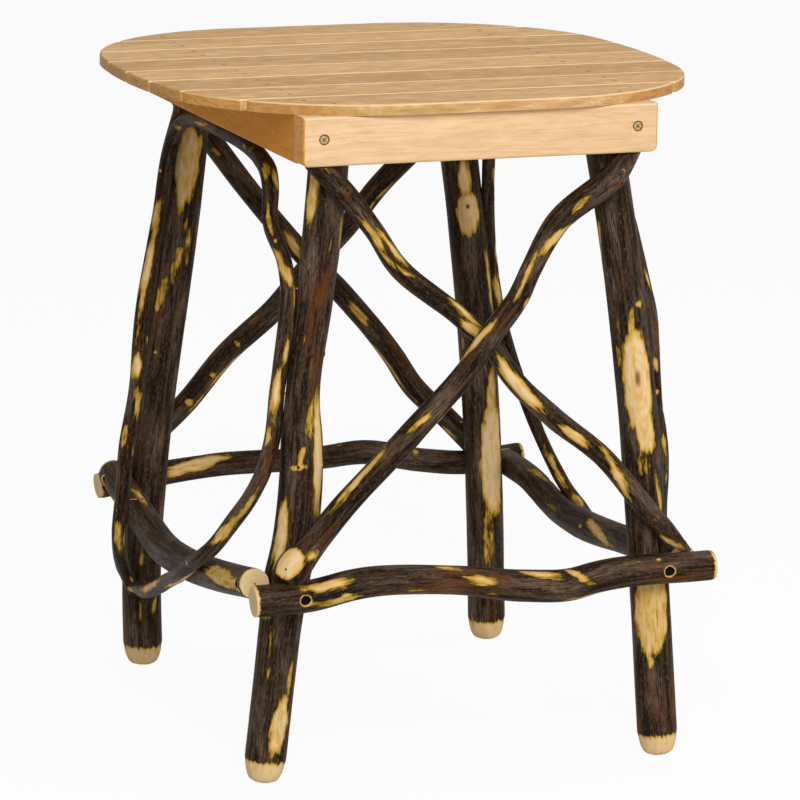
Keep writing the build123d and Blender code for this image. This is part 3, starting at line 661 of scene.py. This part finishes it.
braces = {
    "brace_front_thin": dict(side="front", radius=thin, step=frontCrossing, seed=31, stations=[
        (-0.095, 1.01, 0, 1), (0.015, 0.94, 0, 1.12), (0.145, 0.835, -0.15, 0.95), (0.21, 0.767, -0.2, 1),
        (0.45, 0.616, -0.4, 0.98), (0.555, 0.533, -0.45, 0.98), (0.585, 0.492, -0.42, 1),
        (0.712, 0.382, -0.3, 1.05), (0.857, 0.279, -0.12, 1), (0.993, 0.129, 0, 1.02), (1.03, 0.09, 0, 0.95),
        (1.085, 0.04, 0, 0.4)]),
    "brace_front_thick": dict(side="front", radius=thick, step=frontCrossing, seed=32, stations=[
        (1.065, 1.01, 0, 0.85), (1, 0.957, 0, 1.05), (0.75, 0.838, 0.25, 1), (0.65, 0.735, 0.4, 0.9),
        (0.606, 0.676, 0.47, 0.93), (0.507, 0.585, 0.55, 1), (0.443, 0.514, 0.52, 0.97),
        (0.28, 0.364, 0.33, 1.04), (0.098, 0.192, 0.08, 1.05), (0.025, 0.105, 0, 1.15),
        (-0.012, 0.065, 0, 1.45), (-0.03, 0.035, 0, 1.3)]),
    "brace_back_thin": dict(side="back", radius=backTwig, step=backCrossing, seed=33, stations=[
        (-0.045, 1.01, 0, 0.95), (0, 0.97, 0, 1), (0.13, 0.856, 0, 1), (0.445, 0.575, -0.43, 0.98),
        (0.575, 0.47, -0.43, 1), (0.755, 0.287, -0.25, 1), (0.812, 0.209, -0.18, 1.03), (0.93, 0.105, 0, 1),
        (1.01, 0.025, 0, 1)]),
    "brace_back_thick": dict(side="back", radius=backTwig, step=backCrossing, seed=34, stations=[
        (1.11, 1.01, 0, 0.95), (1, 0.91, 0, 1), (0.723, 0.718, 0.3, 0.98), (0.618, 0.622, 0.45, 1),
        (0.52, 0.545, 0.57, 1.02), (0.394, 0.428, 0.48, 1.05), (0.229, 0.307, 0.3, 1), (0.12, 0.195, 0, 1),
        (0, 0.09, 0, 1), (-0.035, 0.055, 0, 1)]),
    "brace_left_bow": dict(side="left", radius=leftTwig, step=leftCrossing, seed=35, stations=[
        (0.89, 1.01, 0, 0.95), (0.972, 0.815, 0, 1.03), (0.962, 0.745, 0.08, 0.97), (0.89, 0.468, 0.6, 1),
        (0.805, 0.287, 0.9, 1.02), (0.81, 0.155, 0.98, 1), (0.8, 0.02, 1, 1), (0.81, -0.06, 0.97, 0.98),
        (0.86, -0.125, 0.66, 0.97), (0.905, -0.175, 0.33, 0.95), (0.945, -0.22, -0.08, 0.9),
        (0.957, -0.262, -0.41, 0.85)]),
    "brace_left_hook": dict(side="left", radius=leftTwig, step=leftCrossing, seed=36, stations=[
        (0.912, 0.905, 0.2, 0.9), (0.86, 0.95, 0.15, 0.95), (0.79, 0.972, 0.1, 1), (0.585, 0.978, 0, 1),
        (0.38, 0.968, -0.1, 1.1), (0.295, 0.955, -0.1, 1.12), (0.238, 0.933, -0.1, 1.12),
        (0.208, 0.9, -0.07, 1.05), (0.188, 0.843, -0.02, 1), (0.04, 0.739, 0, 0.95), (0.014, 0.7, 0, 0.97),
        (0.006, 0.645, 0, 1), (0.016, 0.455, 0, 0.97), (0.01, 0.345, 0.02, 1), (0.03, 0.26, 0.13, 1),
        (0.055, 0.2, 0.32, 1), (0.085, 0.145, 0.6, 1), (0.13, 0.083, 0.84, 1), (0.19, 0.034, 1, 1),
        (0.245, 0.004, 1, 1), (0.3, -0.027, 0.97, 1), (0.486, -0.105, 0.65, 1), (0.65, -0.17, 0.34, 1),
        (0.8, -0.216, -0.02, 0.95), (0.927, -0.24, -0.36, 0.85)]),
    "brace_right_bow": dict(side="right", radius=rightTwig, step=rightCrossing, seed=37, stations=[
        (0.14, 1.01, 0, 1), (0.12, 0.909, 0, 1), (0.08, 0.847, 0, 1), (0.02, 0.66, 0, 1),
        (0.006, 0.6, 0, 1.05),
        (0.011, 0.521, 0, 1), (0.055, 0.378, 0.2, 1), (0.073, 0.264, 0.4, 1), (0.19, 0.05, 0.98, 1),
        (0.2, -0.01, 1, 1), (0.205, -0.04, 1, 1)]),
    "brace_right_hook": dict(side="right", radius=rightTwig, step=rightCrossing, seed=38, stations=[
        (0.87, 1.01, 0, 1), (0.88, 0.97, 0, 1), (0.95, 0.805, 0, 1), (0.985, 0.7, 0, 1), (1.005, 0.606, 0, 1),
        (1.005, 0.486, 0, 1), (0.995, 0.411, 0.04, 1), (0.925, 0.26, 0.17, 1), (0.79, 0.052, 0.64, 1),
        (0.753, 0.006, 0.82, 1), (0.665, -0.042, 1, 1), (0.625, -0.058, 1, 1)]),
}
limbMarks = {
    "brace_front_thin": dict(peeled=[
        (60, -30, 116, -24, 4, 0.45), (79, 12, 139, 50, 5, 0.7), (99, -56, 146, 18, 4, 0.3),
        (176, 44, 224, 34, 8, 0.9), (203, -26, 236, -2, 11, 0.7), (249, -18, 330, -14, 13, 1),
        (338, -14, 380, -10, 10, 0.9),
        (383, 44, 452, -84, 8, 0.9), (484, -74, 516, -52, 12, 1)],
        knots=[(38, 10, 5, 2.2), (325, 0, 2.5, 0.5), (337, 8, 2.5, 0.5)], warm=[(34, 10, 44, 12, 12, 1)]),
    "brace_front_thick": dict(peeled=[
        (90, -6, 62, -22, 5, 0.4), (135, -12, 90, 60, 9, 0.65), (193, -28, 127, -38, 4, 0.6),
        (182, 40, 171, 36, 5, 0.5), (262, -108, 203, -50, 9, 0.9), (336, -48, 299, -10, 5, 0.7),
        (339, 66, 276, 66, 6, 0.8), (431, -52, 351, -72, 8, 0.9), (503, -80, 474, -12, 27, 1),
        (480, -6, 464, 12, 9, 0.7)],
        knots=[(34, 30, 5, 2.5), (252, -40, 3, 0.6), (494, -40, 3, 1)],
        warm=[(30, 28, 40, 32, 12, 1)]),
    "brace_back_thin": dict(peeled=[
        (179, -174, 214, -210, 8, 0.5), (276, 170, 316, 164, 9, 0.5), (310, 86, 410, 128, 3, 0.5),
        (446, 118, 482, 120, 5, 0.6), (69, 142, 81, 160, 4, 0.2)]),
    "brace_back_thick": dict(peeled=[
        (185, -168, 121, -144, 3, 0.4), (421, 168, 430, 176, 8, 0.45), (388, 170, 393, 190, 5, 0.4),
        (351, 140, 352, 192, 5, 0.5), (443, -160, 329, -112, 3, 0.5)]),
    "brace_left_bow": dict(peeled=[
        (108, 34, 146, 46, 9, 0.8), (142, 56, 214, 38, 11, 0.85), (90, 52, 262, 50, 6, 0.5),
        (261, 66, 292, 60, 11, 0.9),
        (293, 82, 330, 116, 6, 0.4), (330, 44, 356, 38, 6, 0.45), (417, 42, 466, 90, 7, 0.5),
        (533, 42, 545, 82, 8, 0.9)]),
    "brace_left_hook": dict(peeled=[
        (79, -26, 124, 8, 4, 0.3), (220, 26, 236, 2, 4, 0.6), (242, 0, 250, 60, 6, 1),
        (23, -40, 38, -52, 5, 0.9), (277, 54, 297, 52, 6, 0.3), (285, 114, 305, 122, 6, 1),
        (317, 58, 360, 62, 4, 0.4), (365, 40, 368, 76, 5, 0.6), (373, 24, 408, 20, 9, 0.5),
        (391, 32, 416, 104, 10, 0.6), (456, 110, 486, 98, 5, 0.6), (480, 68, 538, 54, 9, 1),
        (538, 38, 559, 26, 7, 0.7), (599, 72, 639, 68, 6, 0.5), (634, 60, 676, 10, 9, 0.6),
        (706, 120, 855, 64, 7, 0.9), (830, -18, 970, -12, 9, 1)],
        knots=[(246, 32, 4.5, 1.5), (30, -46, 4, 1.5)]),
    "brace_right_bow": dict(peeled=[
        (210, -104, 231, -76, 4, 0.5), (249, -116, 250, -72, 5, 0.6), (292, -82, 317, -74, 5, 0.6)]),
    "brace_right_hook": dict(peeled=[
        (200, -76, 246, -90, 9, 0.65), (388, -124, 450, -116, 7, 0.8), (453, -120, 488, -104, 7, 0.5)]),
    "stretcher_front": dict(peeled=[
        (30, 66, 45, 78, 7, 0.7), (40, 46, 92, 34, 11, 0.75), (76, 10, 90, -60, 7, 0.6),
        (45, -24, 98, -38, 7, 0.7),
        (164, 74, 194, 68, 7, 0.55), (192, 24, 228, 10, 8, 0.6), (246, 74, 290, 50, 9, 0.9),
        (291, 104, 315, 0, 8, 0.7), (286, -46, 332, -68, 5, 0.8), (379, 46, 384, 48, 3, 0.5),
        (350, -70, 355, -68, 3, 0.5)]),
    "stretcher_left": dict(peeled=[
        (108, -36, 5, 6, 18, 0.6), (11, 6, 7, 38, 5, 1), (397, -86, 336, -110, 8, 0.8),
        (281, 36, 226, 56, 4, 0.7)]),
    "stretcher_back": dict(peeled=[
        (60, -174, 134, -122, 14, 0.85), (322, -136, 328, -130, 4, 0.4), (422, -144, 437, -170, 4, 0.3)]),
    "stretcher_right": dict(peeled=[
        (394, 106, 355, 82, 7, 0.35), (224, 116, 137, 220, 11, 0.8), (233, 166, 220, 166, 5, 0.5)]),
}


def makeLimb(name, limb, look, stop=None):
    # a pole or twig along its line, with a bore where a screw goes in
    line, radius = limbLine(limb)
    side = sides[limb["side"]]
    look = {**look, "seed": limb["seed"], **limbMarks[name]}
    chord = runLength(line)
    scattered = strayMarks(limb["seed"], chord[-1], side["plain"], stray["limbShare"] * limb["radius"])
    look["peeled"] = look["peeled"] + scattered
    if "screws" in limb:
        across = [station[0] for station in limb["stations"]]
        look["bores"] = [(place, 0, screwBore["radius"], screwBore["depth"])
                         for place in np.interp(limb["screws"], across, chord)]
    woodPole(name + "Skin", line, radius, np.array(side["outward"]), look, stop)


for name, limb in stretchers.items():
    makeLimb(name, limb, stretcherLook)
for name, limb in braces.items():
    makeLimb(name, limb, twigLook, frameBottom - table["seatGap"])
print("stretchers and braces made")

# each noise: waves a metre along and across the board, detail, roughness and, for the figure, distortion
oakNoise = dict(
    dashes=((34, 620, 620), 4, 0.62),
    pores=((60, 1500, 1500), 3, 0.6),
    figure=((2.2, 30, 30), 3, 0.5, 0.5),
    tone=((1.1, 10, 10), 2, 0.5),
    flecks=((40, 150, 150), 5, 0.72),
    dots=((500, 700, 700), 3, 0.6),
    endFigure=((16, 16, 60), 2),
)


def oakFinish(name, tones, shift, along):
    # long soft grain in dashes with darker pores, end grain on the faces across it, and a painted highlight
    # on the eased upper front edges
    finish = Finish(bpy.data.materials.new(name))
    band = finish.band
    blend = finish.blend
    where = finish.node("ShaderNodeTexCoord", {}, out=3)
    where = finish.node("ShaderNodeMapping", {}, {0: where, "Location": shift})
    if along == "y":
        where = finish.node("ShaderNodeMapping", {}, {0: where, "Rotation": (0, 0, pi / 2)})
    dashes, pores, figure, tone, flecks, dots, endFigure = [
        finish.noise(where, *pattern) for pattern in oakNoise.values()]
    rings = finish.math("SINE", figure * 60)
    colour = blend(band(tone, 0.35, 0.65), tones["light"], tones["mid"])
    colour = blend(band(rings, -0.2, 1, 0, 0.3), colour, tones["ring"])
    colour = blend(band(flecks, 0.5, 0.64, 0, tones["fleck"]), colour, tones["ring"])
    colour = blend(band(flecks, 0.48, 0.36, 0, tones["fleck"]), colour, tones["edge"])
    colour = blend(band(dashes, 0.5, 0.68, 0, 0.5), colour, tones["ring"])
    colour = blend(band(pores, 0.58, 0.75, 0, 0.4), colour, tones["pore"])
    sideX, sideY, sideZ = finish.parts(finish.node("ShaderNodeNewGeometry", {}, out=1))
    across = finish.math("ABSOLUTE", sideX if along == "x" else sideY)
    growth = finish.math("SINE", endFigure * 60)
    end = blend(band(growth, -0.5, 1, 0, 0.6), tones["end"], tones["endDark"])
    end = blend(band(dots, 0.5, 0.7, 0, 0.4), end, tones["endDark"])
    colour = blend(band(across, 0.25, 0.6), colour, end)
    # painted highlight: paler wood on the rounded edges that face front and up
    frontEdgeHighlight = band(0 - sideY, 0.15, 0.5) * band(sideZ, 0.15, 0.4)
    colour = blend(frontEdgeHighlight * 0.8, colour, tones["edge"])
    roughness = band(pores, 0.4, 0.7, 0.46, 0.62)
    return finish.close(colour, roughness, pores + dashes * 0.6, 0.00008, Specular_IOR_Level=tones["shine"])


topTones = dict(light=(0.64, 0.39, 0.17), mid=(0.53, 0.305, 0.115), ring=(0.40, 0.21, 0.065),
                pore=(0.28, 0.13, 0.035), end=(0.54, 0.28, 0.08), endDark=(0.38, 0.175, 0.04),
                edge=(0.80, 0.57, 0.31), shine=0.12, fleck=0.55)
apronTones = dict(light=(0.76, 0.515, 0.295), mid=(0.69, 0.45, 0.24), ring=(0.56, 0.335, 0.155),
                  pore=(0.46, 0.24, 0.09), end=(0.66, 0.29, 0.05), endDark=(0.52, 0.20, 0.025),
                  edge=(0.80, 0.56, 0.33), shine=0.2, fleck=0.3)
# painted shade: the side aprons get a darker, redder copy of the front and back aprons' oak
shadedSideTones = dict(light=(0.64, 0.26, 0.018), mid=(0.56, 0.22, 0.014), ring=(0.46, 0.17, 0.010),
                 pore=(0.36, 0.11, 0.007), end=(0.62, 0.36, 0.14), endDark=(0.5, 0.26, 0.085),
                 edge=(0.70, 0.31, 0.03), shine=0.04, fleck=0.3)
# how light each slat is against the others, the front one first
slatShades = (0.98, 1.06, 0.95, 1.04, 0.94, 1, 1.05, 0.97)
for index, shade in enumerate(slatShades):
    tones = {key: tuple(part * shade for part in value) if isinstance(value, tuple) else value
             for key, value in topTones.items()}
    oakName = f"oakSlat{index + 1}"
    dress(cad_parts[f"slat_{index + 1}"], oakFinish(oakName, tones, (index * 1.7, index * 0.37, 0), "x"))
for name, along, tones in (("front", "x", apronTones), ("back", "x", apronTones), ("left", "y", shadedSideTones),
                           ("right", "y", shadedSideTones)):
    oakName = "oakApron" + name.title()
    dress(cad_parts["apron_" + name], oakFinish(oakName, tones, (len(name), 0.3, 0.2), along))
print("oak finished")

# in metres: the cross's half width and reach, where the rim begins, and how softly they fade; the tone is
# the painted shade in the cross-shaped recess
paintedRecess = dict(halfWidth=0.0005, reach=0.0024, rim=0.0031, soft=0.0004, rimSoft=0.0006,
              tone=(0.05, 0.035, 0.02))


def metalFinish(name, bright, dull, gloss, middle=None):
    # worn metal: dull where the noise is high, brighter and smoother between
    finish = Finish(bpy.data.materials.new(name))
    band = finish.band
    where = finish.node("ShaderNodeTexCoord", {}, out=3)
    wear = finish.noise(where, (900, 900, 900), 3, 0.6)
    colour = finish.blend(band(wear, 0.4, 0.65), bright, dull)
    if middle:
        # the heads lie square to y, mirrored in x: a dark rim and, turned by 45 degrees, the painted shade of
        # a cross-shaped recess
        placeX, placeY, placeZ = finish.parts(where)
        aside = finish.math("ABSOLUTE", placeX) - middle[0]
        up = placeZ - middle[1]
        distance = finish.length(finish.node("ShaderNodeCombineXYZ", {}, {0: aside, 1: up}))
        rising = finish.math("ABSOLUTE", aside - up)
        falling = finish.math("ABSOLUTE", aside + up)
        cross = finish.math("MINIMUM", rising, falling)
        slot = band(cross, paintedRecess["halfWidth"] + paintedRecess["soft"], paintedRecess["halfWidth"])
        slot = slot * band(distance, paintedRecess["reach"], paintedRecess["reach"] - paintedRecess["soft"])
        # painted shade: the recess is a dark cross laid in the head's colour
        colour = finish.blend(slot * 0.85, colour, paintedRecess["tone"])
        colour = finish.blend(band(distance, paintedRecess["rim"], paintedRecess["rim"] + paintedRecess["rimSoft"]), colour, dull)
    return finish.close(colour, band(wear, 0.4, 0.65, gloss, gloss + 0.2), wear, 0.00005, Metallic=1.0)


def headMiddle(piece):
    # half way between the nearest and farthest points of the screws, across and up, mirrored in x
    corners = np.empty(len(piece.data.vertices) * 3)
    piece.data.vertices.foreach_get("co", corners)
    x, z = np.abs(corners[0::3]), corners[2::3]
    return (x.min() + x.max()) / 2, (z.min() + z.max()) / 2


metals = {
    "apron_screws": dict(name="brassScrew", bright=(0.78, 0.60, 0.30), dull=(0.30, 0.19, 0.08), gloss=0.3),
    "leg_screws": dict(name="darkScrew", bright=(0.16, 0.15, 0.14), dull=(0.06, 0.055, 0.05), gloss=0.4),
    "stretcher_screws": dict(name="boreScrew", bright=(0.1, 0.09, 0.08), dull=(0.03, 0.028, 0.025),
                             gloss=0.45),
    "slat_nails": dict(name="slatNail", bright=(0.36, 0.22, 0.11), dull=(0.16, 0.09, 0.045), gloss=0.6),
    "brace_nails": dict(name="braceNail", bright=(0.42, 0.20, 0.10), dull=(0.12, 0.06, 0.03), gloss=0.4),
}
for node, metal in metals.items():
    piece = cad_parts[node]
    middle = headMiddle(piece) if node == "apron_screws" else None
    dress(piece, metalFinish(**metal, middle=middle))
print("metal finished")

stage = dict(floor=14000, floorTone=0.9, glow=0.93, world=0.3)  # the floor's width in mm, the rest as shares
lamps = {
    "key": dict(place=(-0.9, -3.3, 2.5), aim=(0, 0, 0.35), size=1.4, power=104),
    "fill": dict(place=(2.6, -2.2, 1.6), aim=(0, 0, 0.3), size=2.0, power=30),
    "top": dict(place=(0.4, 0.2, 3.2), aim=(0, 0, 0.5), size=1.6, power=24, glossy=False),
}


def makeFloor():
    # white to the camera, all but its faint shadow, and plain pale paint to all other light
    half = stage["floor"] / 2
    corners = np.array([(-half, -half, 0), (half, -half, 0), (half, half, 0), (-half, half, 0)])
    floor = fillMesh("floor", corners, np.array([[0, 1, 2, 3]]), np.zeros((0, 3), int))
    finish = Finish(bpy.data.materials.new("paleFloor"))
    tone = stage["floorTone"]
    paint = finish.node("ShaderNodeBsdfDiffuse", {}, {"Color": (tone, tone, tone, 1)})
    glow = finish.node("ShaderNodeEmission", {}, {"Color": (1, 1, 1, 1), "Strength": 1})
    mixed = finish.node("ShaderNodeMixShader", {}, {0: finish.seen() * stage["glow"], 1: paint, 2: glow})
    dress(floor, finish.show(mixed, "ShaderNodeOutputMaterial"))


def makeWorld():
    # full white where it is seen, and a low even light on everything else
    world = bpy.data.worlds.new("studio")
    bpy.context.scene.world = world
    finish = Finish(world)
    strength = stage["world"] + finish.seen() * (1 - stage["world"])
    finish.show(finish.node("ShaderNodeBackground", {}, {"Strength": strength}), "ShaderNodeOutputWorld")
    bpy.context.scene.view_settings.view_transform = "Standard"


def softLight(name, place, aim, size, power, glossy=True):
    # a square lamp that looks from its place at its aim
    lamp = bpy.data.lights.new(name, "AREA")
    lamp.size = size
    lamp.energy = power
    light = bpy.data.objects.new(name, lamp)
    bpy.context.scene.collection.objects.link(light)
    light.location = place
    light.rotation_euler = (Vector(aim) - Vector(place)).to_track_quat("-Z", "Y").to_euler()
    light.visible_glossy = glossy


makeFloor()
makeWorld()
for name, lamp in lamps.items():
    softLight(name, **lamp)
print("stage and light set")
